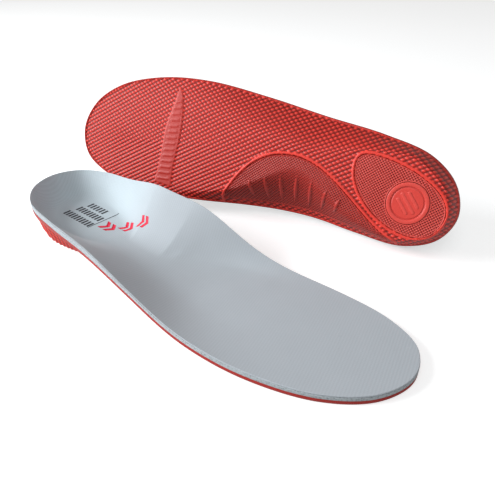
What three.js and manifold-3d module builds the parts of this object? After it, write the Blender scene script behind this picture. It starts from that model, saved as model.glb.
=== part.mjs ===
// A pair of cushioned insoles. The right one lies sole down; the left one stands behind it on its
// inner edge, with its underside turned outwards. Millimetres, +Z up. The origin is on the right
// insole's underside at mid length, +X towards the toe, +Y towards the inner side of the foot.
import * as THREE from "three";
import { mergeVertices } from "three/addons/utils/BufferGeometryUtils.js";
import Module from "manifold-3d";

const wasm = await Module();
wasm.setup();

// Plan of one insole
const LENGTH = 275;
const BALL_WIDTH = 86;
const HEEL_TURN = 28; // heel end to the point the heel's round end turns about
const TOE_TURN = 40; // the same at the toe
// Share of the length, then the inner and outer edge as shares of the ball width
const PLAN = [
  [0.025, 0.24, -0.172],
  [0.095, 0.36, -0.333],
  [0.21, 0.377, -0.399],
  [0.35, 0.375, -0.423],
  [0.5, 0.426, -0.457],
  [0.655, 0.5, -0.466],
  [0.79, 0.53, -0.402],
  [0.905, 0.494, -0.262],
  [0.975, 0.378, -0.065],
];
const HEEL_END = 0.045; // where the edge crosses the heel end, as a share of the ball width
const TOE_END = 0.17; // the same at the toe
const SPAN_STEPS = 3; // points along the edge for each span of the plan

// Rim: height of the top edge above the ground
const HEEL_RISE = 23.2;
const OUTER_FADE = 137.5; // distance from the heel end at which the outer rim has half its rise
const OUTER_SPREAD = 25.5;
const INNER_FADE = 92;
const INNER_SPREAD = 10;
const ARCH_RISE = 25.7;
const ARCH_PLACE = 116;
const ARCH_SPREAD = 41;

// Outer wall: how far in from the edge it reaches the ground, and how round its foot is
const WALL_HEEL = 7;
const WALL_OUTER = 24;
const WALL_INNER = 33;
const WALL_INNER_PLACE = 100;
const WALL_INNER_SPREAD = 40;
const WALL_START = 28;
const WALL_FULL = 95;
const ROUND_HEEL = 1;
const ROUND_SIDE = 0.35;
const CUP_INSET = 7; // the cup's inner wall reaches this much further in than the outer wall

// Layers, measured straight up
const COVER = 0.8;
const COVER_TRIM = 0.6; // the cover is trimmed this far inside the foam's edge
const GLUE = 0.3;
const FOAM_FORE = 1.7;
const FOAM_REAR = 3.6;
const BASE_FORE = 1.95;
const BASE_EDGE = 2;
const BASE_REAR = 4.2;
const REAR_FADE = 118; // where the thick rear half turns into the thin forefoot
const REAR_SPREAD = 9;
const FLOOR_START = 95; // where the rear floor starts to thin, and where the forefoot is level
const FLOOR_END = 172;

// Inserts in the underside
const POCKET = 2.1;
const INSERT = 1.2;
const ARCH_MARGIN = 4; // base left between the arch insert and the inner edge
const DISC_X = 30.2; // measured from the heel end
const DISC_Y = 2.1;
const DISC_R = 12.7;
const RIB_RISE = 0.5;
const RIB_WIDTH = 2.6;
// Each rib: its two ends, from the heel end and from the middle line
const RIBS = [
  [133, 16, 130, 28],
  [122.5, 12, 121, 27],
  [112.5, 8.5, 112, 25.5],
  [101.5, 5.5, 103, 24.5],
  [91, 5.5, 93, 24.5],
  [79.5, 8, 83.5, 23.5],
  [70, 11, 73, 22],
];

// The left insole: middle of its underside, and how it is turned
const LEFT_X = -20;
const LEFT_Y = 83;
const LEFT_YAW = -166.4;
const LEFT_PITCH = -5.2;
const LEFT_ROLL = 112.3;

const RINGS = [0, 3, 7, 12]; // rows of points in from the edge
const INNER_RING = 0.45; // one more row, as a share of what is left

const fade = (x, middle, spread) => 1 / (1 + Math.exp((x - middle) / spread));
const hump = (x, place, spread) => Math.exp(-(((x - place) / spread) ** 2));
const mix = THREE.MathUtils.lerp;
const smooth = THREE.MathUtils.smoothstep;

// Rises from 0 at t = 0 to 1 at t = 1; a small roundness gives a straight ramp with a round foot
function ramp(t, roundness) {
  const curve = (value) => Math.sqrt(value * value + roundness * roundness) - roundness;
  return curve(THREE.MathUtils.clamp(t, 0, 1)) / curve(1);
}

const forefoot = COVER + FOAM_FORE + BASE_FORE + 2 * GLUE;
const rearShare = (x) => fade(x, REAR_FADE, REAR_SPREAD);
const foamThickness = (x) => mix(FOAM_FORE, FOAM_REAR, rearShare(x));
const edgeThickness = (x) =>
  mix(BASE_FORE, BASE_EDGE, rearShare(x)) + foamThickness(x) + COVER + 2 * GLUE;
const floorThickness = (x) =>
  mix(COVER + FOAM_REAR + BASE_REAR + 2 * GLUE, forefoot, smooth(x, FLOOR_START, FLOOR_END));

function rimHeight(x, inner) {
  const outerRise = HEEL_RISE * fade(x, OUTER_FADE, OUTER_SPREAD);
  const archRise = ARCH_RISE * hump(x, ARCH_PLACE, ARCH_SPREAD);
  const innerRise = HEEL_RISE * fade(x, INNER_FADE, INNER_SPREAD) + archRise;
  return forefoot + mix(outerRise, innerRise, inner);
}

function wallReach(x, inner) {
  const outer = mix(WALL_HEEL, WALL_OUTER, smooth(x, WALL_START, WALL_FULL));
  const arch = hump(x, WALL_INNER_PLACE, WALL_INNER_SPREAD);
  return mix(outer, mix(WALL_HEEL, WALL_INNER, arch), inner);
}

// Points round the edge, each with the point on the middle line that it turns about
function planStations() {
  const toPoint = ([share, side]) => new THREE.Vector3(share * LENGTH, side * BALL_WIDTH, 0);
  const inner = PLAN.map(([share, edge]) => toPoint([share, edge]));
  const outer = PLAN.map(([share, , edge]) => toPoint([share, edge])).reverse();
  const knots = [toPoint([0, HEEL_END]), ...inner, toPoint([1, TOE_END]), ...outer];
  const curve = new THREE.CatmullRomCurve3(knots, true, "centripetal");
  const count = knots.length * SPAN_STEPS;
  const edge = Array.from({ length: count }, (_, i) => curve.getPoint(i / count));
  return edge.map((point, i) => {
    const facing = edge[(count - i) % count];
    const along = (point.x + facing.x) / 2;
    const coreX = HEEL_TURN + (along * (LENGTH - HEEL_TURN - TOE_TURN)) / LENGTH;
    const core = new THREE.Vector3(coreX, (point.y + facing.y) / 2, 0);
    const inner = 0.5 * (1 + Math.tanh(4 * Math.sin((2 * Math.PI * i) / count)));
    return { point, core, inner, reach: point.distanceTo(core) };
  });
}
const STATIONS = planStations();

function heights(x, inner, inset, reach) {
  const edge = edgeThickness(x);
  const floor = floorThickness(x);
  const rim = rimHeight(x, inner);
  const wall = Math.min(wallReach(x, inner), reach);
  const cup = Math.min(wall + CUP_INSET, reach);
  const roundness = mix(ROUND_HEEL, ROUND_SIDE, smooth(x, WALL_START, WALL_FULL));
  const sole = (rim - edge) * ramp(1 - inset / wall, roundness);
  const top = floor + (rim - floor) * ramp(1 - inset / cup, roundness);
  return { sole, top, foamBottom: top - COVER - GLUE - foamThickness(x) };
}

// A closed layer between two height rules, each a function of the heights at a point.
// margin takes a strip off all round the edge.
function layer(low, high, margin = 0) {
  const count = STATIONS.length;
  const rows = RINGS.length + 1;
  const positions = [];
  const addRow = (rule, row) => {
    for (const { point, core, inner, reach } of STATIONS) {
      const lastFixed = RINGS[RINGS.length - 1];
      const free = row < RINGS.length ? RINGS[row] : mix(lastFixed, reach, INNER_RING);
      const inset = Math.max(free, margin * (1 - free / lastFixed) + Math.min(free, margin));
      const spot = point.clone().lerp(core, inset / reach);
      positions.push(spot.x - LENGTH / 2, spot.y, rule(heights(point.x, inner, inset, reach)));
    }
  };
  const addCore = (rule) => {
    for (const { point, core, inner, reach } of STATIONS.slice(0, count / 2 + 1)) {
      positions.push(core.x - LENGTH / 2, core.y, rule(heights(point.x, inner, reach, reach)));
    }
  };
  for (let row = 0; row < rows; row += 1) addRow(high, row);
  addCore(high);
  const lowStart = positions.length / 3;
  for (let row = 0; row < rows; row += 1) addRow(low, row);
  addCore(low);

  const faces = [];
  const quad = (a, b, c, d, flip) => {
    faces.push(...(flip ? [a, c, b, a, d, c] : [a, b, c, a, c, d]));
  };
  const coreIndex = (i) => rows * count + Math.min(i, count - i);
  for (let i = 0; i < count; i += 1) {
    const next = (i + 1) % count;
    for (const [start, flip] of [[0, true], [lowStart, false]]) {
      for (let row = 0; row + 1 < rows; row += 1) {
        const outerRow = start + row * count;
        const innerRow = outerRow + count;
        quad(outerRow + i, outerRow + next, innerRow + next, innerRow + i, flip);
      }
      const last = start + (rows - 1) * count;
      quad(last + i, last + next, start + coreIndex(next), start + coreIndex(i), flip);
    }
    quad(i, next, lowStart + next, lowStart + i, false);
  }
  return solidFrom(positions, faces);
}

function solidFrom(positions, faces) {
  const vertProperties = new Float32Array(positions);
  const triVerts = new Uint32Array(faces);
  return new wasm.Manifold(new wasm.Mesh({ numProp: 3, vertProperties, triVerts }));
}

function solidOf(geometry) {
  geometry.deleteAttribute("normal");
  geometry.deleteAttribute("uv");
  const merged = mergeVertices(geometry, 1e-4);
  return solidFrom(merged.attributes.position.array, merged.index.array);
}

// An upright prism through the whole thickness, from an outline drawn from the heel end
const PRISM_LOW = -10;
const PRISM_HIGH = 60;
function prism(outline) {
  const shape = new THREE.Shape(outline);
  const depth = PRISM_HIGH - PRISM_LOW;
  const geometry = new THREE.ExtrudeGeometry(shape, { depth, bevelEnabled: false });
  return solidOf(geometry.translate(-LENGTH / 2, 0, PRISM_LOW));
}

// Moves an outline in by a clearance, along its own normals
function shrink(outline, clearance) {
  const turn = Math.sign(THREE.ShapeUtils.area(outline));
  return outline.map((point, i) => {
    const before = outline[(i + outline.length - 1) % outline.length];
    const after = outline[(i + 1) % outline.length];
    const along = after.clone().sub(before).normalize().multiplyScalar(turn * clearance);
    return new THREE.Vector2(point.x - along.y, point.y + along.x);
  });
}

// The arch panel: one sweep from the ball side, over the middle, to the heel side
function archOutline() {
  const path = new THREE.Path().moveTo(150.5, 60);
  path.lineTo(150.5, 36);
  path.bezierCurveTo(142.8, 14, 132.1, -6.2, 105.5, -7);
  path.bezierCurveTo(79.7, -7.7, 59.5, 17, 31.2, 27.8);
  path.lineTo(24, 60);
  return path.getPoints(9);
}

// The heel pad: an egg shape with its narrow end towards the outer midfoot
function padOutline() {
  const path = new THREE.Path().moveTo(7.4, 4.5);
  path.bezierCurveTo(7.4, 14.6, 12.6, 21.1, 25, 21.1);
  path.bezierCurveTo(44.6, 21.1, 67, 3.6, 67, -13);
  path.bezierCurveTo(67, -18.4, 63.4, -20.4, 56, -20.4);
  path.bezierCurveTo(37.3, -20.4, 7.4, -11.6, 7.4, 4.5);
  return path.getPoints(10).slice(0, -1);
}

function discOutline(radius) {
  return new THREE.Path().absarc(DISC_X, DISC_Y, radius, 0, 2 * Math.PI).getPoints(32).slice(0, -1);
}

// A spindle: two arcs that meet in points at its ends
function ribOutline([x0, y0, x1, y1]) {
  const ends = [new THREE.Vector2(x0, y0), new THREE.Vector2(x1, y1)];
  const middle = ends[0].clone().lerp(ends[1], 0.5);
  const across = ends[1].clone().sub(ends[0]).normalize().multiplyScalar(RIB_WIDTH);
  const side = (sign) => new THREE.Vector2(middle.x - sign * across.y, middle.y + sign * across.x);
  const path = new THREE.Path().moveTo(x0, y0);
  path.quadraticCurveTo(...side(1).toArray(), x1, y1);
  path.quadraticCurveTo(...side(-1).toArray(), x0, y0);
  return path.getPoints(4).slice(0, -1);
}

// The skin of the underside, from one depth to another
const skin = (from, to, margin = 0) =>
  layer(({ sole }) => sole + from, ({ sole }) => sole + to, margin);

function insoleSolids() {
  const drop = POCKET - GLUE - INSERT; // how deep the inserts' faces lie in their pockets
  const insertSkin = skin(drop, drop + INSERT);
  const archSkin = skin(drop, drop + INSERT, ARCH_MARGIN + GLUE);
  const ribSkin = skin(drop - RIB_RISE, drop + INSERT / 2);
  const cut = skin(-1, POCKET);
  const archCut = skin(-1, POCKET, ARCH_MARGIN);
  const ribs = RIBS.map((rib) => prism(ribOutline(rib)).intersect(ribSkin));
  const arch = prism(shrink(archOutline(), GLUE)).intersect(archSkin);
  const pad = prism(shrink(padOutline(), GLUE)).intersect(insertSkin);
  const shell = layer(({ sole }) => sole, ({ foamBottom }) => foamBottom - GLUE);
  return {
    top_cover: layer(({ top }) => top - COVER, ({ top }) => top, COVER_TRIM),
    cushion_foam: layer(({ foamBottom }) => foamBottom, ({ top }) => top - COVER - GLUE),
    base_shell: shell
      .subtract(prism(archOutline()).intersect(archCut))
      .subtract(prism(padOutline()).intersect(cut)),
    arch_insert: ribs.reduce((solid, rib) => solid.add(rib), arch),
    heel_pad: pad.subtract(prism(discOutline(DISC_R + GLUE))),
    heel_disc: prism(discOutline(DISC_R)).intersect(insertSkin),
  };
}

const MATERIALS = {
  top_cover: new THREE.MeshStandardMaterial({ color: 0xb3bac2, roughness: 0.85, metalness: 0 }),
  cushion_foam: new THREE.MeshStandardMaterial({ color: 0x8d979c, roughness: 0.9, metalness: 0 }),
  base_shell: new THREE.MeshStandardMaterial({ color: 0xd2443d, roughness: 0.6, metalness: 0 }),
  arch_insert: new THREE.MeshStandardMaterial({ color: 0xc23a34, roughness: 0.55, metalness: 0 }),
  heel_pad: new THREE.MeshStandardMaterial({ color: 0xc83f38, roughness: 0.55, metalness: 0 }),
  heel_disc: new THREE.MeshStandardMaterial({ color: 0xd94c45, roughness: 0.5, metalness: 0 }),
};

function insole(side, solids) {
  const group = new THREE.Group();
  for (const [piece, solid] of Object.entries(solids)) {
    const { vertProperties, triVerts } = solid.getMesh();
    const geometry = new THREE.BufferGeometry();
    geometry.setAttribute("position", new THREE.BufferAttribute(vertProperties, 3));
    geometry.setIndex(new THREE.BufferAttribute(triVerts, 1));
    const mesh = new THREE.Mesh(geometry, MATERIALS[piece]);
    mesh.name = `${side}_${piece}`;
    group.add(mesh);
  }
  return group;
}

const rightSolids = insoleSolids();
const leftSolids = Object.fromEntries(
  Object.entries(rightSolids).map(([piece, solid]) => [piece, solid.mirror([0, 1, 0])]),
);
const right = insole("right", rightSolids);
const left = insole("left", leftSolids);
const turns = [LEFT_ROLL, LEFT_PITCH, LEFT_YAW].map(THREE.MathUtils.degToRad);
left.rotation.set(...turns, "ZYX");
left.position.set(LEFT_X, LEFT_Y, 0);
left.updateMatrixWorld(true);
left.position.z = -new THREE.Box3().setFromObject(left, true).min.z; // stands on the ground

const pair = new THREE.Group();
pair.add(right, left);
export default pair;
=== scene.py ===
"""A pair of cushioned insoles: the right one sole down, the left one standing on its inner edge."""
import math

import bmesh
import bpy
import numpy as np
from mathutils import Matrix, Vector
from mathutils.bvhtree import BVHTree


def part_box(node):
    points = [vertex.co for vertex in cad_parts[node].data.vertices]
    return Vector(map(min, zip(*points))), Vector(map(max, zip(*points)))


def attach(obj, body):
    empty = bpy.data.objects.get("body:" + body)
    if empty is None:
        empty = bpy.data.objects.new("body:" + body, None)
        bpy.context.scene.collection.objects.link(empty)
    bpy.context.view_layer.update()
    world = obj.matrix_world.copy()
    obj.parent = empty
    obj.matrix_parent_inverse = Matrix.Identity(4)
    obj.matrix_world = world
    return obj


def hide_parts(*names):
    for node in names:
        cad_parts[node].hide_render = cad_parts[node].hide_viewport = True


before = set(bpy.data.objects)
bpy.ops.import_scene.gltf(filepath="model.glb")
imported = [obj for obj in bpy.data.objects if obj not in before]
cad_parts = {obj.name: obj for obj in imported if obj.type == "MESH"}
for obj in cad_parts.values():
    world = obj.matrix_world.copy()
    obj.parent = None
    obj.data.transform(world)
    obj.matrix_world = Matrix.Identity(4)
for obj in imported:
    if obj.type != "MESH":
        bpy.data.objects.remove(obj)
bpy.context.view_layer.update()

bl_info = {
    "name": "Cushioned insoles",
    "version": (1, 0, 0),
    "blender": (4, 5, 0),
    "location": "View3D > Sidebar > Insoles",
    "description": "Builds the fine surfaces, materials and studio of a pair of cushioned insoles",
    "category": "Object",
}

MM = 0.001
CAD_BASE_LOW, CAD_BASE_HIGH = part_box("right_base_shell")

# Shape of one insole, in millimetres; x from the heel end, y from the middle line to the inner side
LENGTH = (CAD_BASE_HIGH.x - CAD_BASE_LOW.x) / MM
BALL_WIDTH = 86.0
HEEL_TURN, TOE_TURN = 28.0, 40.0
PLAN = [  # share of the length, then the inner and outer edge as shares of the ball width
    (0.025, 0.24, -0.172),
    (0.095, 0.36, -0.333),
    (0.21, 0.377, -0.399),
    (0.35, 0.375, -0.423),
    (0.5, 0.426, -0.457),
    (0.655, 0.5, -0.466),
    (0.79, 0.53, -0.402),
    (0.905, 0.494, -0.262),
    (0.975, 0.378, -0.065),
]
HEEL_END, TOE_END = 0.045, 0.17
HEEL_RISE = 23.2
OUTER_FADE, OUTER_SPREAD = 137.5, 25.5
INNER_FADE, INNER_SPREAD = 92.0, 10.0
ARCH_RISE, ARCH_PLACE, ARCH_SPREAD = 25.7, 116.0, 41.0
WALL_HEEL, WALL_OUTER, WALL_INNER = 7.0, 24.0, 33.0
WALL_INNER_PLACE, WALL_INNER_SPREAD = 100.0, 40.0
WALL_START, WALL_FULL = 28.0, 95.0
ROUND_HEEL, ROUND_SIDE = 1.0, 0.35
CUP_INSET = 7.0
COVER, FOAM_FORE, FOAM_REAR = 0.8, 1.7, 3.6
GLUE = 0.3
BASE_FORE, BASE_EDGE, BASE_REAR = 1.95, 2.0, 4.2
REAR_FADE, REAR_SPREAD = 118.0, 9.0
FLOOR_START, FLOOR_END = 95.0, 172.0
FOREFOOT = COVER + FOAM_FORE + BASE_FORE + 2 * GLUE
ARCH_MARGIN = 4.0
DISC_X, DISC_Y, DISC_R = 30.2, 2.1, 12.7
POCKET, INSERT = 2.1, 1.2
INSERT_DROP = POCKET - GLUE - INSERT
RIBS = [  # the two ends of each rib of the arch insert
    (133, 16, 130, 28),
    (122.5, 12, 121, 27),
    (112.5, 8.5, 112, 25.5),
    (101.5, 5.5, 103, 24.5),
    (91, 5.5, 93, 24.5),
    (79.5, 8, 83.5, 23.5),
    (70, 11, 73, 22),
]
LEFT_TURN = [math.radians(angle) for angle in (112.3, -5.2, -166.4)]
BOND = 0.05  # what is left between bonded layers


def mix(a, b, t):
    """The value a share t of the way from a to b."""
    return a + (b - a) * t


def smooth(x, low, high):
    """A soft step from 0 at low to 1 at high."""
    t = np.clip((x - low) / (high - low), 0, 1)
    return t * t * (3 - 2 * t)


def fade(x, middle, spread):
    """A soft fall from 1 at the heel to 0 at the toe, half way down at the middle."""
    return 1 / (1 + np.exp((x - middle) / spread))


def hump(x, place, spread):
    """A soft hump of height 1 at a place."""
    return np.exp(-(((x - place) / spread) ** 2))


CUP_BLUR = 0.2  # how softly the wall of the cup runs into its floor


def ramp(t, roundness, blur=0.0):
    """Rise from 0 to 1 with a rounded foot, softened over the blur to both sides."""
    def curve(value):
        steps = [np.clip(value + blur * shift, 0, None) for shift in np.linspace(-1, 1, 9)]
        return sum(np.sqrt(step * step + roundness * roundness) - roundness for step in steps)

    return curve(np.minimum(t, 1)) / curve(1)


def foam_thickness(x):
    """Thickness of the cushion foam, thinner in the forefoot."""
    return mix(FOAM_FORE, FOAM_REAR, fade(x, REAR_FADE, REAR_SPREAD))


def heights(x, inner, inset, reach):
    """Sole and top height of the insole at an inset from the edge point at x."""
    rear = fade(x, REAR_FADE, REAR_SPREAD)
    edge = mix(BASE_FORE, BASE_EDGE, rear) + foam_thickness(x) + COVER + 2 * GLUE
    rear_floor = COVER + FOAM_REAR + BASE_REAR + 2 * GLUE
    floor = mix(rear_floor, FOREFOOT, smooth(x, FLOOR_START, FLOOR_END))
    outer_rise = HEEL_RISE * fade(x, OUTER_FADE, OUTER_SPREAD)
    inner_rise = HEEL_RISE * fade(x, INNER_FADE, INNER_SPREAD) + ARCH_RISE * hump(x, ARCH_PLACE, ARCH_SPREAD)
    rim = FOREFOOT + mix(outer_rise, inner_rise, inner)
    along = smooth(x, WALL_START, WALL_FULL)
    outer_reach = mix(WALL_HEEL, WALL_OUTER, along)
    inner_reach = mix(WALL_HEEL, WALL_INNER, hump(x, WALL_INNER_PLACE, WALL_INNER_SPREAD))
    wall = np.minimum(mix(outer_reach, inner_reach, inner), reach)
    cup = np.minimum(wall + CUP_INSET, reach)
    roundness = mix(ROUND_HEEL, ROUND_SIDE, along)
    sole = (rim - edge) * ramp(1 - inset / wall, roundness)
    blur = np.minimum(CUP_BLUR, reach / cup - 1)
    top = floor + (rim - floor) * ramp(1 - inset / cup, roundness, blur)
    return sole, top


def edge_curve(u):
    """Points of the plan's edge, a closed centripetal curve, at shares u of the way round."""
    inner = [(share * LENGTH, edge * BALL_WIDTH) for share, edge, _ in PLAN]
    outer = [(share * LENGTH, edge * BALL_WIDTH) for share, _, edge in reversed(PLAN)]
    knots = np.array([(0, HEEL_END * BALL_WIDTH), *inner, (LENGTH, TOE_END * BALL_WIDTH), *outer])
    place = (np.asarray(u) % 1) * len(knots)
    span = np.floor(place).astype(int)
    t = (place - span)[:, None]
    p0, p1, p2, p3 = (knots[(span + k) % len(knots)] for k in (-1, 0, 1, 2))
    d0, d1, d2 = (np.sqrt(np.linalg.norm(b - a, axis=1))[:, None] for a, b in ((p0, p1), (p1, p2), (p2, p3)))
    start = ((p1 - p0) / d0 - (p2 - p0) / (d0 + d1) + (p2 - p1) / d1) * d1
    end = ((p2 - p1) / d1 - (p3 - p1) / (d1 + d2) + (p3 - p2) / d2) * d1
    return p1 + start * t + (3 * (p2 - p1) - 2 * start - end) * t**2 + (2 * (p1 - p2) + start + end) * t**3


class Stations:
    """Points round the edge, each with the point on the middle line that it turns about."""

    def __init__(self, count):
        fine = np.linspace(0, 0.5, 2001)
        steps = sum(np.linalg.norm(np.diff(edge_curve(way), axis=0), axis=1) for way in (fine, 1 - fine))
        length = np.concatenate([[0], np.cumsum(steps)])
        half = np.interp(np.linspace(0, length[-1], count // 2 + 1), length, fine)
        u = np.concatenate([half, 1 - half[-2:0:-1]])
        self.count = count
        self.point = edge_curve(u)
        facing = edge_curve(1 - u)
        along = (self.point[:, 0] + facing[:, 0]) / 2
        core_x = HEEL_TURN + along * (LENGTH - HEEL_TURN - TOE_TURN) / LENGTH
        self.core = np.stack([core_x, (self.point[:, 1] + facing[:, 1]) / 2], axis=1)
        self.inner = 0.5 * (1 + np.tanh(4 * np.sin(2 * np.pi * u)))
        self.reach = np.linalg.norm(self.point - self.core, axis=1)

    def rows(self, insets, rule):
        """Rows of points, rows x stations x 3, at insets (rows x stations) and at the rule's heights."""
        share = (insets / self.reach)[..., None]
        spot = self.point * (1 - share) + self.core * share
        x = np.broadcast_to(self.point[:, 0], insets.shape)
        sole, top = heights(x, self.inner, insets, self.reach)
        return np.dstack([spot, rule(sole, top, foam_thickness(x))])

    def insets(self, shares, margin):
        """Insets from a trimmed edge to the middle line."""
        return margin + np.asarray(shares)[:, None] * (self.reach - margin)


# Meshes ---

def rounding(inset, radius):
    """How far a surface falls away near its trimmed edge."""
    left = np.clip(1 - inset / radius, 0, 1)
    return radius * (1 - np.sqrt(1 - left**2))


def tube_faces(row_count, count):
    """Quads of stacked rows whose first and last rows are folded together on the middle line."""
    half = count // 2
    index = (np.arange(row_count * count)).reshape(row_count, count)
    folded = np.minimum(np.arange(count), (count - np.arange(count)) % count)
    folded[half] = half
    index[0] = index[0][folded]
    index[-1] = index[-1][folded]
    after = np.roll(index, -1, axis=1)
    quads = np.stack([index[:-1], after[:-1], after[1:], index[1:]], axis=-1)
    return quads.reshape(-1, 4)


def grid_faces(index):
    """Quads of a grid of vertex numbers."""
    return np.stack([index[:-1, :-1], index[1:, :-1], index[1:, 1:], index[:-1, 1:]], axis=-1).reshape(-1, 4)


def unit(vectors):
    """The same directions, each of length 1."""
    return vectors / np.maximum(np.linalg.norm(vectors, axis=-1, keepdims=True), 1e-9)


def row_normals(rows):
    """Unit normals of rows of points round the insole, pointing down."""
    across = np.roll(rows, -1, axis=1) - np.roll(rows, 1, axis=1)
    inwards = np.gradient(rows, axis=0)
    normal = unit(np.cross(across, inwards))
    normal *= -np.sign(normal[..., 2:])
    normal[-1] = (0, 0, -1)
    return normal


def build_mesh(name, points, faces, relief=None):
    """A mesh in metres, centred along the insole, from points in millimetres; no loose points."""
    used, faces = np.unique(faces, return_inverse=True)
    faces = faces.reshape(-1, 4)
    points = (points[used] - (LENGTH / 2, 0, 0)) * MM
    mesh = bpy.data.meshes.new(name)
    mesh.vertices.add(len(points))
    mesh.vertices.foreach_set("co", points.astype(np.float32).ravel())
    mesh.loops.add(faces.size)
    mesh.loops.foreach_set("vertex_index", faces.astype(np.int32).ravel())
    mesh.polygons.add(len(faces))
    mesh.polygons.foreach_set("loop_start", np.arange(0, faces.size, 4, dtype=np.int32))
    mesh.polygons.foreach_set("use_smooth", np.ones(len(faces), bool))
    mesh.update(calc_edges=True)
    mesh.validate()
    if relief is not None:
        layer = mesh.attributes.new("relief", "FLOAT", "POINT")
        layer.data.foreach_set("value", relief[used].astype(np.float32))
    return mesh


def outwards(mesh):
    """Turns the faces of a closed mesh outwards."""
    shape = bmesh.new()
    shape.from_mesh(mesh)
    if shape.calc_volume(signed=True) < 0:
        bmesh.ops.reverse_faces(shape, faces=shape.faces)
    shape.to_mesh(mesh)
    shape.free()
    return mesh


def mark_places(mesh):
    """Stores where each point lies on its own insole, for the finishes."""
    places = np.empty(len(mesh.vertices) * 3, np.float32)
    mesh.vertices.foreach_get("co", places)
    mesh.attributes.new("own_place", "FLOAT_VECTOR", "POINT").data.foreach_set("vector", places)
    return mesh


def mirrored(mesh, place):
    """The same mesh for the other foot, put in its place."""
    other = mesh.copy()
    other.transform(place @ Matrix.Scale(-1, 4, (0, 1, 0)))
    other.flip_normals()
    return other


def left_placement():
    """Where the left insole stands: turned as the CAD's, and lowered until its box meets the CAD's."""
    turn = Matrix.Rotation(LEFT_TURN[2], 4, "Z") @ Matrix.Rotation(LEFT_TURN[1], 4, "Y")
    turn = turn @ Matrix.Rotation(LEFT_TURN[0], 4, "X")
    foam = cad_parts["right_cushion_foam"].data
    points = np.empty(len(foam.vertices) * 3, np.float32)
    foam.vertices.foreach_get("co", points)
    points = points.reshape(-1, 3) * (1, -1, 1)
    turned = points @ np.array(turn.to_3x3()).T
    low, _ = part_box("left_cushion_foam")
    return Matrix.Translation(low - Vector(turned.min(axis=0))) @ turn


def add_pair(piece, mesh, material, node=None):
    """The right and left piece of one kind, each riding on its insole and standing for its CAD node."""
    mark_places(mesh).materials.append(material)
    made = []
    for side, data in (("right", mesh), ("left", mirrored(mesh, left_placement()))):
        obj = bpy.data.objects.new(f"{side}_{piece}_fine", data)
        obj.data.name = obj.name
        bpy.context.scene.collection.objects.link(obj)
        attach(obj, f"{side}_insole")
        if node:
            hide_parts(f"{side}_{node}")
        made.append(obj)
    return made


def layer_mesh(name, count, shares, low, high, margin=0.0, edge_radius=0.3):
    """A closed layer between two height rules, with its edges rounded."""
    stations = Stations(count)
    lip = np.array([0, 0.08, 0.29, 0.62]) * edge_radius
    lip_rows = np.repeat(margin + lip[:, None], count, axis=1)
    insets = np.vstack([lip_rows, stations.insets(shares, margin + edge_radius)])
    fall = rounding(insets - margin, edge_radius)
    under = stations.rows(insets, low)
    over = stations.rows(insets, high)
    under[..., 2] += fall
    over[..., 2] -= fall
    rows = np.concatenate([under[::-1], over])
    return outwards(build_mesh(name, rows.reshape(-1, 3), tube_faces(len(rows), count)))


# Patterns of the underside ---

def bezier(start, steps, *spans):
    """Points along a chain of cubic spans, each two handles and an end."""
    points = [np.array([start], float)]
    t = np.linspace(0, 1, steps + 1)[1:, None]
    for first, second, end in spans:
        a, b, c, d = (np.array(p, float) for p in (points[-1][-1], first, second, end))
        points.append(a * (1 - t) ** 3 + 3 * b * t * (1 - t) ** 2 + 3 * c * t**2 * (1 - t) + d * t**3)
    return np.vstack(points)


def arch_sweep():
    """The curved edge of the arch insert, from the forefoot to the heel."""
    return bezier(
        (150.5, 36), 40,
        ((142.8, 14), (132.1, -6.2), (105.5, -7)),
        ((79.7, -7.7), (59.5, 17), (31.2, 27.8)),
    )


def arch_outline():
    """The arch insert's pocket, open past the inner edge."""
    return np.vstack([[(150.5, 60)], arch_sweep(), [(24, 60)]])


def pad_outline():
    """The egg-shaped pocket of the heel pad."""
    return bezier(
        (7.4, 4.5), 30,
        ((7.4, 14.6), (12.6, 21.1), (25, 21.1)),
        ((44.6, 21.1), (67, 3.6), (67, -13)),
        ((67, -18.4), (63.4, -20.4), (56, -20.4)),
        ((37.3, -20.4), (7.4, -11.6), (7.4, 4.5)),
    )[:-1]


def strip_outline():
    """The label strip across the forefoot, pointed at its outer end."""
    return bezier(
        (191, 37.7), 12,
        ((193, 28), (192.5, 16), (192.2, 6)),
        ((192.2, -6), (193, -17), (197, -27)),
        ((199, -31), (201, -31), (201, -25)),
        ((201.5, -17), (204, -10), (204.7, -1)),
        ((204.7, 12), (203.7, 26), (205.1, 37.7)),
    )


def signed_distance(points, outline):
    """Distance to a closed outline, negative inside, and the unit direction away from it."""
    best = np.full(len(points), 1e9)
    away = np.zeros((len(points), 2))
    inside = np.zeros(len(points), bool)
    for a, b in zip(outline, np.roll(outline, -1, axis=0)):
        along = b - a
        t = np.clip((points - a) @ along / max(along @ along, 1e-12), 0, 1)
        offset = points - (a + t[:, None] * along)
        distance = np.linalg.norm(offset, axis=1)
        nearer = distance < best
        best = np.where(nearer, distance, best)
        away[nearer] = offset[nearer]
        crosses = (a[1] > points[:, 1]) != (b[1] > points[:, 1])
        if crosses.any():
            at = a[0] + (points[:, 1] - a[1]) / (b[1] - a[1] or 1e-12) * along[0]
            inside ^= crosses & (points[:, 0] < at)
    sign = np.where(inside, -1.0, 1.0)
    return best * sign, unit(away) * sign[:, None]


GRIP_ROW = (0.227, -0.31)  # ridges to a millimetre, along and across the sole
GRIP_STEP = (0.225, 0.33)


def ridge(phase):
    """1 on the crest of a rounded ridge and 0 in the groove."""
    return 0.5 + 0.5 * np.cos(2 * np.pi * phase)


def grip(points):
    """Crest height, 0 to 1, of the diamond grip: rows of studs, each row nearly joined up."""
    x, y = points[:, 0], points[:, 1]
    row = ridge(GRIP_ROW[0] * x + GRIP_ROW[1] * y)
    step = ridge(GRIP_STEP[0] * x + GRIP_STEP[1] * y)
    return row**0.6 * (0.2 + 0.8 * step**0.7)


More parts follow.
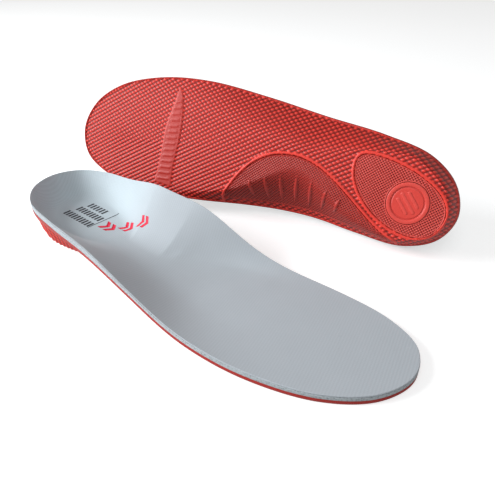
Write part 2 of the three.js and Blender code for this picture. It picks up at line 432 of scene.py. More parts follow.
def pits(points, pitch):
    """Face height, 0 to 1, of a face with small square pits on a slanted grid."""
    x, y = points[:, 0], points[:, 1]
    turn = math.sqrt(0.5) / pitch
    return 1 - np.sqrt((1 - ridge((x + y) * turn)) * (1 - ridge((x - y) * turn)))


def bead(distance, middle, half_width):
    """Height, 0 to 1, of a rounded bead that follows an outline."""
    return np.sqrt(np.clip(1 - ((distance - middle) / half_width) ** 2, 0, 1))


def segment_distance(points, a, b):
    """Distance to the line from a to b, and the share of the way along it."""
    a, b = np.array(a, float), np.array(b, float)
    t = np.clip((points - a) @ (b - a) / ((b - a) @ (b - a)), 0, 1)
    return np.linalg.norm(points - (a + t[:, None] * (b - a)), axis=1), t


STRIP_BARS = 14
STRIP_MIDDLE = 198.4
STRIP_ENDS = (-22.0, 33.0)
BAR_REACH = (2.2, 4.0)  # half the length of the first and of the last bar
BAR_SLANT, BAR_HALF = 1.2, 0.95


def strip_marks(points):
    """Plain bars across the strip on the forefoot, 0 to 1."""
    raised = np.zeros(len(points))
    for share in np.arange(STRIP_BARS) / (STRIP_BARS - 1):
        y = mix(*STRIP_ENDS, share)
        reach = mix(*BAR_REACH, share)
        start, end = (STRIP_MIDDLE - reach, y), (STRIP_MIDDLE + reach, y + BAR_SLANT)
        distance, _ = segment_distance(points, start, end)
        raised = np.maximum(raised, bead(distance, 0, BAR_HALF))
    return raised


BELOW = -20.0  # a height under the whole insole


class Surface:
    """The smooth underside or top, for points placed by their plan position."""

    def __init__(self, rule):
        stations = Stations(600)
        rows = stations.rows(stations.insets(np.linspace(0, 1, 60), 0), rule)
        self.tree = BVHTree.FromPolygons(rows.reshape(-1, 3).tolist(), ring_faces(rows).tolist())

    def place(self, points, depth):
        """The plan points on the surface, moved up from it by a depth along its normal."""
        placed = np.empty((len(points), 3))
        up = Vector((0, 0, 1))
        for i, ((x, y), d) in enumerate(zip(points.tolist(), depth.tolist())):
            spot, normal, _, _ = self.tree.ray_cast(Vector((x, y, BELOW)), up)
            if spot is None:
                raise RuntimeError(f"no insole over {x:.1f}, {y:.1f}")
            if normal.z > 0:
                normal = -normal
            placed[i] = spot - normal * d
        return placed


def ring_faces(rows):
    """Quads of rows of points that run round the insole."""
    index = np.arange(rows.shape[0] * rows.shape[1]).reshape(rows.shape[:2])
    index = np.hstack([index, index[:, :1]])
    return grid_faces(index)


# Pieces ---

def sole_rule(sole, top, foam):
    """The height of the underside."""
    return sole


def top_rule(sole, top, foam):
    """The height of the cover's top."""
    return top


def cover_mesh():
    """The knit cover: closest rows at the edge, where it rounds over."""
    def low(sole, top, foam):
        return top - COVER

    shares = 1 - np.cos(np.linspace(0, np.pi / 2, 46))
    return layer_mesh("cover", 640, shares, low, top_rule, 0.2, 0.35)


def foam_mesh():
    """The cushion foam, between the cover and the base."""
    def low(sole, top, foam):
        return top - COVER - GLUE - foam

    def high(sole, top, foam):
        return top - COVER - BOND

    return layer_mesh("foam", 640, np.linspace(0, 1, 28), low, high, 0.0, 0.25)


BASE_RIM = 0.5  # rounding of the base's rim
SNAP = 0.26  # points nearer than this to a pocket's outline are moved onto it
SNAP_INSET = 1.2
IN_POCKET = -0.05
STRIP_DEPTH, BEAD_DEPTH = 0.3, 0.75
BEAD_RELIEF, STRIP_RELIEF, RIM_RELIEF = 0.45, 0.25, 0.2  # how pale the plain places are at most; the rim's low value is painted shade along its lip


def rim_rows(stations, lip, shares):
    """Insets from the base's rim to the middle line, close together over the rounded lip."""
    lip_rows = np.repeat(np.array(lip)[:, None] * BASE_RIM, stations.count, axis=1)
    return np.vstack([lip_rows, stations.insets(shares, BASE_RIM)])


def snapped(points, facing, insets, outline):
    """Moves the points next to a pocket's outline onto it; gives every point's distance to it."""
    distance, away = signed_distance(points[:, :2], outline)
    near = (np.abs(distance) < SNAP) & (insets > SNAP_INSET)
    shift = -distance[near, None] * away[near]
    slope = -(facing[near, :2] * shift).sum(axis=1) / facing[near, 2]
    points[near] += np.column_stack([shift, slope])
    distance[near] = 0
    return distance


def underside(sizes, points, facing, insets, from_rim):
    """The patterned underside's points and how much each stands out of the grooves."""
    to_arch = snapped(points, facing, insets, arch_outline())
    to_pad = snapped(points, facing, insets, pad_outline())
    plan = points[:, :2]
    floor = sizes.grip_floor / MM
    depth = mix(floor, sizes.grip_top / MM, grip(plan))
    to_strip, _ = signed_distance(plan, strip_outline())
    on_strip = smooth(-to_strip, -0.5, 0.3)
    depth = mix(depth, STRIP_DEPTH, on_strip)
    depth -= STRIP_DEPTH * strip_marks(plan) * smooth(-to_strip, 0.5, 1.0)
    half = sizes.bead_width / MM / 2
    beads = [bead(distance, half, half) for distance in (to_arch, to_pad)]
    for line in beads:
        depth = mix(depth, BEAD_DEPTH * (1 - line), smooth(line, 0, 0.5))
    rim = 1 - smooth(from_rim, 0.8, 1.7) * smooth(insets, 0.4, 0.9)
    depth = mix(depth, 0.0, rim)
    in_pocket = ((to_arch < IN_POCKET) & (insets > ARCH_MARGIN)) | (to_pad < IN_POCKET)
    depth[in_pocket] = POCKET

    # relief sets the painted colour: painted shade in grooves, pockets and along the rim, a painted
    # highlight on the stud crests
    relief = np.clip(1 - depth / floor, 0, 1)
    relief = mix(relief, np.minimum(relief, BEAD_RELIEF), np.maximum(*beads))
    relief = mix(relief, np.minimum(relief, STRIP_RELIEF), on_strip)
    relief = np.where(in_pocket, 0, mix(relief, RIM_RELIEF, rim))
    return points - facing * depth[:, None], relief


def base_mesh(sizes):
    """The red base: grip, beads, label strip and pockets on the underside, plain on top."""
    stations = Stations(1200)
    insets = rim_rows(stations, (0, 0.1, 0.4), np.linspace(0, 1, 84) ** 1.25)
    under = stations.rows(insets, sole_rule)
    under[..., 2] += rounding(insets, BASE_RIM)
    steps = np.linalg.norm(np.diff(under, axis=0, prepend=under[:1]), axis=2)
    from_rim = np.cumsum(steps, axis=0).ravel()
    facing = row_normals(under).reshape(-1, 3)
    points, relief = underside(sizes, under.reshape(-1, 3), facing, insets.ravel(), from_rim)

    over_insets = rim_rows(stations, (0, 0.3), np.linspace(0, 1, 9))
    over = stations.rows(over_insets, lambda s, top, foam: top - COVER - GLUE - foam - BOND)
    over[..., 2] -= rounding(over_insets, BASE_RIM)
    rows = np.concatenate([points.reshape(under.shape)[::-1], over])
    relief = relief.reshape(insets.shape)[::-1].ravel()
    relief = np.concatenate([relief, np.full(over_insets.size, RIM_RELIEF)])
    faces = tube_faces(len(rows), stations.count)
    return outwards(build_mesh("base", rows.reshape(-1, 3), faces, relief))


def plate_mesh(name, face, back, relief=None):
    """A closed plate from two grids of points that share their outline."""
    index = np.arange(face[..., 0].size).reshape(face.shape[:2])
    other = index + index.size
    rim = np.concatenate([index[0, :-1], index[:-1, -1], index[-1, :0:-1], index[:0:-1, 0]])
    skirt = np.stack([rim, np.roll(rim, -1), np.roll(rim, -1) + index.size, rim + index.size], axis=-1)
    faces = np.vstack([grid_faces(index), grid_faces(other)[:, ::-1], skirt[:, ::-1]])
    points = np.vstack([face.reshape(-1, 3), back.reshape(-1, 3)])
    if relief is not None:
        relief = np.concatenate([relief.ravel(), np.zeros(index.size)])
    return outwards(build_mesh(name, points, faces, relief))


def insert_plate(name, plan, depth, relief, surface):
    """An insert between its patterned face and its plain back, both following the sole."""
    face = surface.place(plan.reshape(-1, 2), depth.ravel()).reshape(*plan.shape[:2], 3)
    back_depth = np.full(depth.size, INSERT_DROP + INSERT)
    back = surface.place(plan.reshape(-1, 2), back_depth).reshape(*plan.shape[:2], 3)
    return plate_mesh(name, face, back, relief)


def resampled(line, count):
    """Points spread evenly along a line."""
    length = np.concatenate([[0], np.cumsum(np.linalg.norm(np.diff(line, axis=0), axis=1))])
    at = np.linspace(0, length[-1], count)
    return np.stack([np.interp(at, length, line[:, k]) for k in (0, 1)], axis=1)


def inner_margin(margin):
    """Plan line at a margin from the inner edge, from the heel to the toe."""
    stations = Stations(1200)
    share = (margin / stations.reach)[:, None]
    line = stations.point * (1 - share) + stations.core * share
    line = line[: stations.count // 2]
    return line[(line[:, 0] > 15) & (line[:, 0] < 170)]


def pitted(points, border, pitch):
    """Face height, 0 to 1, of a pitted face with a plain border."""
    return 1 - (1 - pits(points, pitch)) * smooth(border, 0.2, 0.9)


RIB_HALF = 1.1
LEAST_ROOM = 0.7  # the arch insert ends where it would be narrower than this


def arch_mesh(sizes, surface):
    """The arch insert: fine pits and seven spindle ribs between the sweep and the inner edge."""
    sweep = resampled(arch_sweep(), 400)
    along = unit(np.gradient(sweep, axis=0))
    sweep = sweep + GLUE * np.stack([along[:, 1], -along[:, 0]], axis=1)
    margin = inner_margin(ARCH_MARGIN + GLUE)
    room = np.interp(sweep[:, 0], margin[:, 0], margin[:, 1]) - sweep[:, 1]
    near = resampled(sweep[room > LEAST_ROOM], 330)
    far_x = mix(near[0, 0], near[-1, 0], np.linspace(0, 1, len(near)))
    far = np.stack([far_x, np.interp(far_x, margin[:, 0], margin[:, 1])], axis=1)
    share = np.linspace(0, 1, 124)[:, None]
    plan = near[:, None] * (1 - share) + far[:, None] * share
    flat = plan.reshape(-1, 2)

    width = np.linalg.norm(far - near, axis=1)[:, None]
    border = np.minimum(share.T * width, (1 - share.T) * width).ravel()
    field = pitted(flat, border, sizes.pit_pitch / MM)
    raised = np.zeros(len(flat))
    for x0, y0, x1, y1 in RIBS:
        distance, t = segment_distance(flat, (x0, y0), (x1, y1))
        half = RIB_HALF * np.sin(np.pi * np.clip(t, 0.04, 0.96)) ** 0.7
        raised = np.maximum(raised, bead(distance, 0, half) * half / RIB_HALF)
    depth = INSERT_DROP + sizes.pit_depth / MM * (1 - field) * (1 - smooth(raised, 0, 0.3))
    depth -= sizes.rib_rise / MM * raised + 0.12 * smooth(raised, 0, 0.2)
    # painted shade: the pits get a low relief and so a darker colour; the ribs stay mid-toned
    relief = mix(0.62 * field, 0.5, smooth(raised, 0, 0.3))
    shape = plan.shape[:2]
    return insert_plate("arch", plan, depth.reshape(shape), relief.reshape(shape), surface)


def ring_plate(name, plan, depth, relief, surface):
    """A closed ring-shaped plate whose rows run round it."""
    rows = []
    for points, row_depth in zip(plan, depth):
        rows.append(surface.place(points, row_depth))
    back = np.full(plan.shape[1], INSERT_DROP + INSERT)
    for k in (len(plan) - 1, len(plan) // 2, 0):
        rows.append(surface.place(plan[k], back))
    rows = np.array(rows + rows[:1])
    row_count, count = rows.shape[:2]
    index = np.arange((row_count - 1) * count).reshape(row_count - 1, count)
    index = np.vstack([index, index[:1]])
    index = np.hstack([index, index[:, :1]])
    relief = np.concatenate([relief.ravel(), np.zeros(3 * count)])
    return outwards(build_mesh(name, rows[:-1].reshape(-1, 3), grid_faces(index), relief))


def pad_mesh(sizes, surface):
    """The heel pad: fine pits between its outline and the hole for the disc."""
    outline = resampled(np.vstack([pad_outline(), pad_outline()[:1]]), 421)[:-1]
    centre = np.array([DISC_X, DISC_Y])
    along = unit(np.roll(outline, -1, axis=0) - np.roll(outline, 1, axis=0))
    inward = np.stack([-along[:, 1], along[:, 0]], axis=1)
    inward *= np.sign(((centre - outline) * inward).sum(axis=1))[:, None]
    outer = outline + GLUE * inward
    hole = centre + unit(outer - centre) * (DISC_R + GLUE)
    share = np.linspace(0, 1, 98)[:, None, None]
    plan = outer * (1 - share) + hole * share
    width = np.linalg.norm(outer - hole, axis=1)
    border = np.minimum(share[..., 0] * width, (1 - share[..., 0]) * width)
    field = pitted(plan.reshape(-1, 2), border.ravel(), sizes.pit_pitch / MM).reshape(border.shape)
    depth = INSERT_DROP + sizes.pit_depth / MM * (1 - field)
    # painted shade: the pitted field is the relief, so the pits are painted darker
    return ring_plate("pad", plan, depth, field, surface)


DISC_FIELD = 0.5  # how far the medallion's field lies below the beads
DISC_RING = (11.4, 1.35, 0.38)  # middle radius, half width and height
DISC_GROOVE = (9.7, 0.5, 0.3)  # middle radius, half width and depth
DISC_BARS = ((-2.6, 3.4), (0.0, 4.6), (2.6, 3.4))  # place across and half length of each bar
DISC_BAR_HALF, DISC_BAR_RISE, DISC_RIM = 1.15, 0.3, 0.4


def disc_mesh(surface):
    """The round medallion: a raised ring round a lower field with three plain bars."""
    side = np.linspace(-1, 1, 90)
    u, v = np.meshgrid(side, side, indexing="ij")
    x = u * np.sqrt(1 - v * v / 2) * DISC_R
    y = v * np.sqrt(1 - u * u / 2) * DISC_R
    radius = np.hypot(x, y)
    ring = bead(radius, *DISC_RING[:2])
    groove = bead(radius, *DISC_GROOVE[:2])
    depth = DISC_FIELD - DISC_RING[2] * ring + DISC_GROOVE[2] * groove
    bars = np.zeros(radius.size)
    flat = np.column_stack([x.ravel(), y.ravel()])
    for place, reach in DISC_BARS:
        middle, end = np.array([1, 1]) * place, np.array([1, -1]) * reach
        distance, _ = segment_distance(flat, middle - end, middle + end)
        bars = np.maximum(bars, bead(distance, 0, DISC_BAR_HALF))
    outline = smooth(bars, 0.0, 0.15) * (1 - smooth(bars, 0.3, 0.6))
    depth = depth - DISC_BAR_RISE * (bars - outline).reshape(depth.shape)
    depth += rounding(DISC_R - radius, DISC_RIM)
    # painted shade: the deeper a place lies, the darker it is painted
    relief = np.clip(0.95 - 0.8 * depth, 0, 0.75)
    plan = np.dstack([x + DISC_X, y + DISC_Y])
    return insert_plate("disc", plan, depth, relief, surface)


INK, INK_LOW = 0.05, 0.03  # thickness of the print, and where it starts above the cover
PRINT_ROWS = [(12, 29, 45.5, 6), (4, 27, 51.5, 9), (-4.8, 25, 52.5, 10)]  # y, start, end, ticks
TICK_HALF, TICK_WIDTH = 2.8, 1.7
RULE = ((54.3, -8), (54.9, 17))
RULE_WIDTH = 0.6
CHEVRONS = ((70.5, 1.5, 4.4), (81.0, 8.5, 3.9), (92.0, 13.2, 3.2))  # tip, middle across, half width


def printed(plan, surface):
    """A thin plate of ink on the cover, from a grid of plan points."""
    flat = plan.reshape(-1, 2)
    shape = (*plan.shape[:2], 3)
    face = surface.place(flat, np.full(len(flat), INK_LOW + INK)).reshape(shape)
    back = surface.place(flat, np.full(len(flat), INK_LOW)).reshape(shape)
    return plate_mesh("printed", face, back)


def stroke(start, end, width, surface):
    """A straight printed line of an even width."""
    start, end = np.array(start, float), np.array(end, float)
    length = np.linalg.norm(end - start)
    side = np.array([start[1] - end[1], end[0] - start[0]]) / length * width / 2
    line = start + np.linspace(0, 1, max(3, int(length / 1.2)))[:, None] * (end - start)
    return printed(line[:, None] + side * np.linspace(-1, 1, 3)[:, None], surface)


def joined(meshes, name):
    """One mesh from several."""
    shape = bmesh.new()
    for mesh in meshes:
        shape.from_mesh(mesh)
        bpy.data.meshes.remove(mesh)
    made = bpy.data.meshes.new(name)
    shape.to_mesh(made)
    shape.free()
    return made


def print_lines_mesh(surface):
    """Three rows of plain upright ticks and a thin rule across."""
    strokes = []
    for y, start, end, ticks in PRINT_ROWS:
        for x in np.linspace(start, end, ticks):
            strokes.append(stroke((x, y - TICK_HALF), (x, y + TICK_HALF), TICK_WIDTH, surface))
    strokes.append(stroke(*RULE, RULE_WIDTH, surface))
    return joined(strokes, "print_lines")


def print_chevrons_mesh(surface):
    """Three plain double chevrons in a row, pointing to the toe and shrinking towards it."""
    made = []
    across, through = np.meshgrid(np.linspace(-1, 1, 9), np.linspace(0, 1, 3), indexing="ij")
    for tip, middle, half in CHEVRONS:
        for back in (0, 1.25 * half):
            x = tip - back - half * (0.75 * through + 0.9 * np.abs(across))
            made.append(printed(np.dstack([x, middle + half * across]), surface))
    return joined(made, "print_chevrons")


# Materials ---

def add(tree, kind, inputs=None, **settings):
    """A shader node with its settings, and its inputs set or linked."""
    node = tree.nodes.new(kind)
    for name, value in settings.items():
        setattr(node, name, value)
    for name, value in (inputs or {}).items():
        if isinstance(value, bpy.types.NodeSocket):
            tree.links.new(value, node.inputs[name])
        else:
            node.inputs[name].default_value = value
    return node


def new_group(name, sockets_in, sockets_out):
    """An empty node group with named sockets, its input node and its output node."""
    group = bpy.data.node_groups.new(name, "ShaderNodeTree")
    for direction, sockets in (("INPUT", sockets_in), ("OUTPUT", sockets_out)):
        for socket, kind in sockets:
            group.interface.new_socket(socket, in_out=direction, socket_type=f"NodeSocket{kind}")
    return group, group.nodes.new("NodeGroupInput"), group.nodes.new("NodeGroupOutput")


def math_node(tree, operation, a, b):
    """The sum, product or other operation of two values."""
    return add(tree, "ShaderNodeMath", {0: a, 1: b}, operation=operation).outputs[0]


def mix_colour(tree, factor, a, b):
    """A colour between two; the mix node's colour sockets come seventh, eighth and third."""
    return add(tree, "ShaderNodeMix", {0: factor, 6: a, 7: b}, data_type="RGBA").outputs[2]


def scaled_colour(tree, colour, factor):
    """A colour made darker or paler by a factor."""
    return add(tree, "ShaderNodeVectorMath", {0: colour, "Scale": factor}, operation="SCALE").outputs[0]


def fine_grain_group():
    """Small grain as a height, and broad soft patches as a mask."""
    if "fine_grain" in bpy.data.node_groups:
        return bpy.data.node_groups["fine_grain"]
    group, start, end = new_group(
        "fine_grain",
        [("Vector", "Vector"), ("Grain Scale", "Float"), ("Patch Scale", "Float")],
        [("Height", "Float"), ("Patches", "Float")],
    )
    vector = start.outputs["Vector"]
    grain = add(group, "ShaderNodeTexNoise",
                {"Vector": vector, "Scale": start.outputs["Grain Scale"], "Detail": 3.0, "Roughness": 0.6})
    patches = add(group, "ShaderNodeTexNoise",
                  {"Vector": vector, "Scale": start.outputs["Patch Scale"], "Detail": 2.0})
    group.links.new(grain.outputs["Fac"], end.inputs["Height"])
    group.links.new(patches.outputs["Fac"], end.inputs["Patches"])
    return group


def relief_painted_shade_group():
    """Colour of a moulded face: painted shade deep in the grooves, a paler painted highlight on the crests,
    with soft patches.
    """
    if "relief_painted_shade" in bpy.data.node_groups:
        return bpy.data.node_groups["relief_painted_shade"]
    group, start, end = new_group(
        "relief_painted_shade",
        [("Relief", "Float"), ("Patches", "Float"),
         ("Groove", "Color"), ("Face", "Color"), ("Crest", "Color")],
        [("Color", "Color")],
    )
    relief = start.outputs["Relief"]
    # low relief gets the painted shade of the grooves, high relief the painted highlight of the crests
    low = add(group, "ShaderNodeMapRange", {"Value": relief, "From Min": 0.05, "From Max": 0.55})
    high = add(group, "ShaderNodeMapRange", {"Value": relief, "From Min": 0.6, "From Max": 1.0})
    colour = mix_colour(group, low.outputs[0], start.outputs["Groove"], start.outputs["Face"])
    colour = mix_colour(group, high.outputs[0], colour, start.outputs["Crest"])
    shade = add(group, "ShaderNodeMapRange",
                {"Value": start.outputs["Patches"], "To Min": 0.93, "To Max": 1.07})
    group.links.new(scaled_colour(group, colour, shade.outputs[0]), end.inputs["Color"])
    return group


def new_material(name, **settings):
    """A material with its shader's even values set, its tree and its shader."""
    material = bpy.data.materials.new(name)
    material.use_nodes = True
    tree = material.node_tree
    shader = tree.nodes["Principled BSDF"]
    for socket, value in settings.items():
        shader.inputs[socket.replace("_", " ")].default_value = value
    return material, tree, shader


def placed_grain(tree, grain_scale, patch_scale):
    """The shared grain, placed by where each point lies on its own insole."""
    place = add(tree, "ShaderNodeAttribute", attribute_name="own_place").outputs["Vector"]
    node = add(tree, "ShaderNodeGroup",
               {"Vector": place, "Grain Scale": grain_scale, "Patch Scale": patch_scale},
               node_tree=fine_grain_group())
    return node, place


def bump(tree, shader, height, distance, strength=1.0):
    """Roughens a material's face by a height pattern of a given depth in metres."""
    node = add(tree, "ShaderNodeBump", {"Height": height, "Distance": distance, "Strength": strength})
    tree.links.new(node.outputs["Normal"], shader.inputs["Normal"])


GROOVE_SHADE_TINT = np.array((1.0, 0.62, 0.6))  # painted shade in the grooves is a purer red than the face
CREST_HIGHLIGHT = np.array((0.02, 0.025, 0.022))  # crests are painted a little paler, as a highlight


def moulded_material(name, colour, groove=0.22, crest=1.1, roughness=0.45):
    """Moulded rubber or foam skin: grooves darkened with painted shade, crests paler with a painted
    highlight, finely grained.
    """
    material, tree, shader = new_material(name, Specular_IOR_Level=0.32)
    grain, _ = placed_grain(tree, 2600.0, 45.0)
    relief = add(tree, "ShaderNodeAttribute", attribute_name="relief").outputs["Fac"]
    face = np.array(colour[:])
    colours = {
        "Groove": (*(face * groove * GROOVE_SHADE_TINT), 1),
        "Face": (*face, 1),
        "Crest": (*np.clip(face * crest + CREST_HIGHLIGHT, 0, 1), 1),
    }
    tint = add(tree, "ShaderNodeGroup",
               {"Relief": relief, "Patches": grain.outputs["Patches"], **colours},
               node_tree=relief_painted_shade_group())
    tree.links.new(tint.outputs["Color"], shader.inputs["Base Color"])
    rough = add(tree, "ShaderNodeMapRange",
                {"Value": grain.outputs["Patches"], "To Min": roughness - 0.06, "To Max": roughness + 0.08})
    tree.links.new(rough.outputs[0], shader.inputs["Roughness"])
    bump(tree, shader, grain.outputs["Height"], 0.00006)
    return material


KNIT_SLANT = math.radians(-14)
WAVE_UNIT = 2 * math.pi / 20  # a wave texture of this scale has one band to a metre
HEEL_PAINTED_LIGHT = (-0.035, -0.085)  # along the insole, where the painted light in the heel cup starts and ends getting paler


def cover_material(colours, sizes):
    """Grey knit cloth: fine slanted ribs over a soft mottle, with a faint sheen and a paler heel cup painted
    in as light.
    """
    material, tree, shader = new_material(
        "knit_cover", Roughness=0.8, Sheen_Weight=0.25, Sheen_Roughness=0.4, Specular_IOR_Level=0.25)
    grain, place = placed_grain(tree, 1900.0, 60.0)
    turned = add(tree, "ShaderNodeMapping", {"Vector": place, "Rotation": (0, 0, KNIT_SLANT)})
    ribs = add(tree, "ShaderNodeTexWave",
               {"Vector": turned.outputs[0], "Scale": WAVE_UNIT / sizes.rib_pitch,
                "Distortion": 0.25, "Detail": 1.0}, bands_direction="X")
    steps = add(tree, "ShaderNodeTexWave",
                {"Vector": turned.outputs[0], "Scale": WAVE_UNIT / (sizes.rib_pitch * 0.7),
                 "Distortion": 0.3, "Detail": 1.0}, bands_direction="Y")
    knit = math_node(tree, "ADD", math_node(tree, "MULTIPLY", ribs.outputs["Fac"], 0.8),
                     math_node(tree, "MULTIPLY", steps.outputs["Fac"], 0.2))
    yarn = math_node(tree, "ADD", knit, math_node(tree, "MULTIPLY", grain.outputs["Height"], 0.7))
    length = add(tree, "ShaderNodeSeparateXYZ", {0: place}).outputs[0]
    # painted light: the cloth is made paler towards the heel cup, standing in for a pool of light there
    heel = add(tree, "ShaderNodeMapRange",
               {"Value": length, "From Min": HEEL_PAINTED_LIGHT[0], "From Max": HEEL_PAINTED_LIGHT[1]},
               interpolation_type="SMOOTHSTEP")
    shade = add(tree, "ShaderNodeMapRange",
                {"Value": yarn, "From Min": 0.2, "From Max": 1.5, "To Min": 0.95, "To Max": 1.05})
    base = mix_colour(tree, heel.outputs[0], (*colours.cover, 1), (*colours.cover_heel_painted_light, 1))
    soft = add(tree, "ShaderNodeMapRange",
               {"Value": grain.outputs["Patches"], "To Min": 0.97, "To Max": 1.03})
    colour = scaled_colour(tree, scaled_colour(tree, base, shade.outputs[0]), soft.outputs[0])
    tree.links.new(colour, shader.inputs["Base Color"])
    bump(tree, shader, yarn, 0.00005, 0.5)
    return material


def foam_material(colours):
    """Open-cell foam: pores painted darker as shade, between paler cell walls."""
    material, tree, shader = new_material("cushion_foam", Roughness=0.9, Specular_IOR_Level=0.2)
    grain, place = placed_grain(tree, 1500.0, 40.0)
    cells = add(tree, "ShaderNodeTexVoronoi", {"Vector": place, "Scale": 900.0}, feature="F1")
    pores = add(tree, "ShaderNodeMapRange",
                {"Value": cells.outputs["Distance"], "From Min": 0.1, "From Max": 0.5})
    base = np.array(colours.foam[:])
    # painted shade: the pores are painted at half the foam's colour
    colour = mix_colour(tree, pores.outputs[0], (*(base * 0.5), 1), (*base, 1))
    colour = mix_colour(tree, math_node(tree, "MULTIPLY", grain.outputs["Patches"], 0.4),
                        colour, (*(base * 1.25), 1))
    tree.links.new(colour, shader.inputs["Base Color"])
    height = math_node(tree, "ADD", pores.outputs[0],
                       math_node(tree, "MULTIPLY", grain.outputs["Height"], 0.5))
    bump(tree, shader, height, 0.00015)
    return material


def ink_material(name, colour):
    """Printed ink, a little broken by the cloth under it."""
    material, tree, shader = new_material(name, Roughness=0.6, Specular_IOR_Level=0.3)
    grain, _ = placed_grain(tree, 1900.0, 300.0)
    base = np.array(colour[:])
    worn = mix_colour(tree, grain.outputs["Patches"],
                      (*(base * 0.85), 1), (*np.clip(base * 1.2 + 0.015, 0, 1), 1))
    tree.links.new(worn, shader.inputs["Base Color"])
    bump(tree, shader, grain.outputs["Height"], 0.00005)
    return material


# Settings ---

def length_setting(name, description, default):
    return bpy.props.FloatProperty(
        name=name, description=description, default=default, min=0.0, precision=5,
        subtype="DISTANCE", unit="LENGTH")


def colour_setting(name, description, default):
    return bpy.props.FloatVectorProperty(
        name=name, description=description, default=default, min=0.0, max=1.0, size=3, subtype="COLOR")


def strength_setting(name, description, default, unit="NONE"):
    return bpy.props.FloatProperty(name=name, description=description, default=default, min=0.0, unit=unit)


class InsoleSizes(bpy.types.PropertyGroup):
    grip_top: length_setting("Stud tops", "Depth of the tops of the grip's studs", 0.00035)
    grip_floor: length_setting("Groove floor", "Depth of the grip's grooves", 0.00115)
    bead_width: length_setting("Bead width", "Width of the smooth beads round the inserts", 0.0019)
    pit_pitch: length_setting("Pit pitch", "Distance between the inserts' pits", 0.00142)
    pit_depth: length_setting("Pit depth", "Depth of the inserts' pits", 0.0006)
    rib_rise: length_setting("Rib rise", "How far the arch ribs stand above their panel", 0.0006)
    rib_pitch: length_setting("Knit pitch", "Distance between the cover's fine ribs", 0.0015)


class InsoleColours(bpy.types.PropertyGroup):
    cover: colour_setting("Cover", "Knit top cloth", (0.39, 0.415, 0.445))
    # painted light: this paler colour stands in for the pool of light in the heel cup
    cover_heel_painted_light: colour_setting("Cover at the heel", "Paler cloth in the heel cup", (0.45, 0.505, 0.54))
    foam: colour_setting("Foam", "Cushion foam", (0.36, 0.39, 0.41))
    base: colour_setting("Base", "Moulded base", (0.74, 0.046, 0.031))
    insert: colour_setting("Inserts", "Arch insert and heel pad", (0.45, 0.034, 0.025))
    disc: colour_setting("Medallion", "Round medallion in the heel", (0.58, 0.045, 0.033))
    ink: colour_setting("Print", "Dark print on the cover", (0.03, 0.03, 0.035))
    ink_red: colour_setting("Red print", "Red print on the cover", (0.68, 0.01, 0.045))


class InsoleStudio(bpy.types.PropertyGroup):
    sky: strength_setting("Sky", "Strength of the even light from all round", 0.35)
    main_power: strength_setting("Main light", "Power of the large soft light", 22.5, unit="POWER")
    fill_power: strength_setting("Fill light", "Power of the soft light overhead", 3.2, unit="POWER")
    main_size: length_setting("Light size", "Width of the soft lights", 0.7)


# Operators ---

class InsoleOperator:
    """What the operators share."""

    bl_options = {"REGISTER", "UNDO"}

    def settings(self, context):
        scene = context.scene
        return scene.insole_sizes, scene.insole_colours


class INSOLES_OT_covers(InsoleOperator, bpy.types.Operator):
    """Make the knit top covers"""

    bl_idname = "insoles.covers"
    bl_label = "Top covers"

    def execute(self, context):
        sizes, colours = self.settings(context)
        mesh = cover_mesh()
        pair = add_pair("top_cover", mesh, cover_material(colours, sizes), "top_cover")
        return {"FINISHED"}


class INSOLES_OT_foams(InsoleOperator, bpy.types.Operator):
    """Make the cushion foam layers"""

    bl_idname = "insoles.foams"
    bl_label = "Cushion foams"

    def execute(self, context):
        _, colours = self.settings(context)
        material = foam_material(colours)
        for obj in add_pair("cushion_foam", foam_mesh(), material, "cushion_foam"):
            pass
        return {"FINISHED"}


class INSOLES_OT_bases(InsoleOperator, bpy.types.Operator):
    """Make the moulded bases"""

    bl_idname = "insoles.bases"
    bl_label = "Bases"

    def execute(self, context):
        sizes, colours = self.settings(context)
        material = moulded_material("base_foam", colours.base)
        add_pair("base_shell", base_mesh(sizes), material, "base_shell")
        return {"FINISHED"}


class INSOLES_OT_inserts(InsoleOperator, bpy.types.Operator):
    """Make the arch inserts, heel pads and heel discs"""

    bl_idname = "insoles.inserts"
    bl_label = "Inserts"

    def execute(self, context):
        sizes, colours = self.settings(context)
        surface = Surface(sole_rule)
        rubber = moulded_material("insert_rubber", colours.insert, 0.2, 1.25)
        add_pair("arch_insert", arch_mesh(sizes, surface), rubber, "arch_insert")
        add_pair("heel_pad", pad_mesh(sizes, surface), rubber, "heel_pad")
        disc = moulded_material("disc_rubber", colours.disc, 0.55, 1.05, 0.42)
        add_pair("heel_disc", disc_mesh(surface), disc, "heel_disc")
        return {"FINISHED"}


class INSOLES_OT_print(InsoleOperator, bpy.types.Operator):
    """Make the print in the heel cups"""

    bl_idname = "insoles.print"
    bl_label = "Print"

    def execute(self, context):
        _, colours = self.settings(context)
        surface = Surface(top_rule)
        dark = ink_material("ink_dark", colours.ink)
        add_pair("print_lines", print_lines_mesh(surface), dark)
        red = ink_material("ink_red", colours.ink_red)
        add_pair("print_chevrons", print_chevrons_mesh(surface), red)
        return {"FINISHED"}


class INSOLES_OT_stage(InsoleOperator, bpy.types.Operator):
    """Make the floor, the studio light and the camera"""

    bl_idname = "insoles.stage"
    bl_label = "Studio"

    def execute(self, context):
        studio = context.scene.insole_studio
        make_floor()
        make_lights(context.scene, studio)
        make_camera(context.scene)
        return {"FINISHED"}


FLOOR_HALF = 4.0
FLOOR_GLOW = 0.52  # keeps the floor white to the eye, without lighting the insoles
MAIN_PLACE = (-0.85, -0.72, 0.53)
FILL_PLACE = (0.3, -0.5, 0.9)
LIT_PLACE = (-0.02, 0.03, 0.01)  # where both lights point
LIGHT_COLOUR = (0.95, 1.0, 1.02)
SKY_COLOUR = (1, 0.985, 0.975, 1)
CAMERA_PLACE = (0.18036, -0.15405, 0.17483)
CAMERA_TARGET = (0.004385, 0.053025, 0.0)
CAMERA_LENS = 35.73


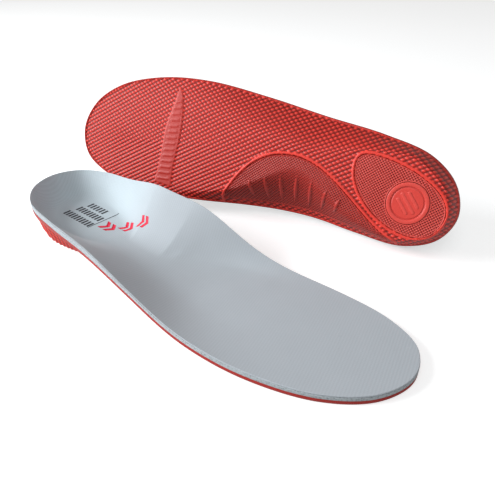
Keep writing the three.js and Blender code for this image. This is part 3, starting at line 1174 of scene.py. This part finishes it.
def make_floor():
    """A plain pale floor."""
    mesh = bpy.data.meshes.new("floor")
    corners = [(x * FLOOR_HALF, y * FLOOR_HALF, 0) for x, y in ((-1, -1), (1, -1), (1, 1), (-1, 1))]
    mesh.from_pydata(corners, [], [(0, 1, 2, 3)])
    material, tree, shader = new_material("floor", Roughness=0.9, Specular_IOR_Level=0.1)
    grain, _ = placed_grain(tree, 60.0, 4.0)
    tone = mix_colour(tree, grain.outputs["Patches"], (0.71, 0.71, 0.71, 1), (0.73, 0.73, 0.73, 1))
    tree.links.new(tone, shader.inputs["Base Color"])
    lit = add(tree, "ShaderNodeLightPath")
    glow = math_node(tree, "MULTIPLY", lit.outputs["Is Camera Ray"], FLOOR_GLOW)
    tree.links.new(glow, shader.inputs["Emission Strength"])
    shader.inputs["Emission Color"].default_value = (1, 1, 1, 1)
    mark_places(mesh).materials.append(material)
    floor = bpy.data.objects.new("floor", mesh)
    bpy.context.scene.collection.objects.link(floor)


def aimed(obj, target):
    """Turns a light or camera to face a point."""
    obj.rotation_mode = "QUATERNION"
    obj.rotation_quaternion = (Vector(target) - obj.location).to_track_quat("-Z", "Y")


def add_light(scene, name, place, power, size):
    """A round soft light."""
    light = bpy.data.lights.new(name, "AREA")
    light.shape = "DISK"
    light.size = size
    light.energy = power
    light.color = LIGHT_COLOUR
    obj = bpy.data.objects.new(name, light)
    obj.location = place
    aimed(obj, LIT_PLACE)
    scene.collection.objects.link(obj)


def make_lights(scene, studio):
    """An even sky, a large low main light and a weak light overhead."""
    world = bpy.data.worlds.new("studio")
    world.use_nodes = True
    background = world.node_tree.nodes["Background"]
    background.inputs["Color"].default_value = SKY_COLOUR
    background.inputs["Strength"].default_value = studio.sky
    scene.world = world
    add_light(scene, "main_light", MAIN_PLACE, studio.main_power, studio.main_size)
    add_light(scene, "fill_light", FILL_PLACE, studio.fill_power, studio.main_size)
    scene.view_settings.view_transform = "Standard"


def make_camera(scene):
    """The camera, in front of the right insole's toe and above it."""
    data = bpy.data.cameras.new("camera")
    data.lens = CAMERA_LENS
    data.sensor_width = 36
    data.clip_start = 0.01
    camera = bpy.data.objects.new("camera", data)
    camera.location = CAMERA_PLACE
    aimed(camera, CAMERA_TARGET)
    scene.collection.objects.link(camera)
    scene.camera = camera


class INSOLES_PT_panel(bpy.types.Panel):
    """Lists the sizes, colours and operators"""

    bl_label = "Insoles"
    bl_space_type = "VIEW_3D"
    bl_region_type = "UI"
    bl_category = "Insoles"

    def draw(self, context):
        layout = self.layout
        for group in SETTINGS:
            settings = getattr(context.scene, group)
            box = layout.box()
            for name in settings.__annotations__:
                box.prop(settings, name)
        for operator in OPERATORS:
            layout.operator(operator.bl_idname)


OPERATORS = (
    INSOLES_OT_covers,
    INSOLES_OT_foams,
    INSOLES_OT_bases,
    INSOLES_OT_inserts,
    INSOLES_OT_print,
    INSOLES_OT_stage,
)
SETTINGS = {"insole_sizes": InsoleSizes, "insole_colours": InsoleColours, "insole_studio": InsoleStudio}
CLASSES = (*SETTINGS.values(), *OPERATORS, INSOLES_PT_panel)


def register():
    """Adds the operators, the panel and the settings."""
    for cls in CLASSES:
        bpy.utils.register_class(cls)
    for name, cls in SETTINGS.items():
        setattr(bpy.types.Scene, name, bpy.props.PointerProperty(type=cls))


def unregister():
    """Takes them away again."""
    for name in SETTINGS:
        delattr(bpy.types.Scene, name)
    for cls in reversed(CLASSES):
        bpy.utils.unregister_class(cls)


def main():
    """Makes the whole scene."""
    register()
    for operator in OPERATORS:
        group, action = operator.bl_idname.split(".")
        getattr(getattr(bpy.ops, group), action)()


if __name__ == "__main__":
    main()
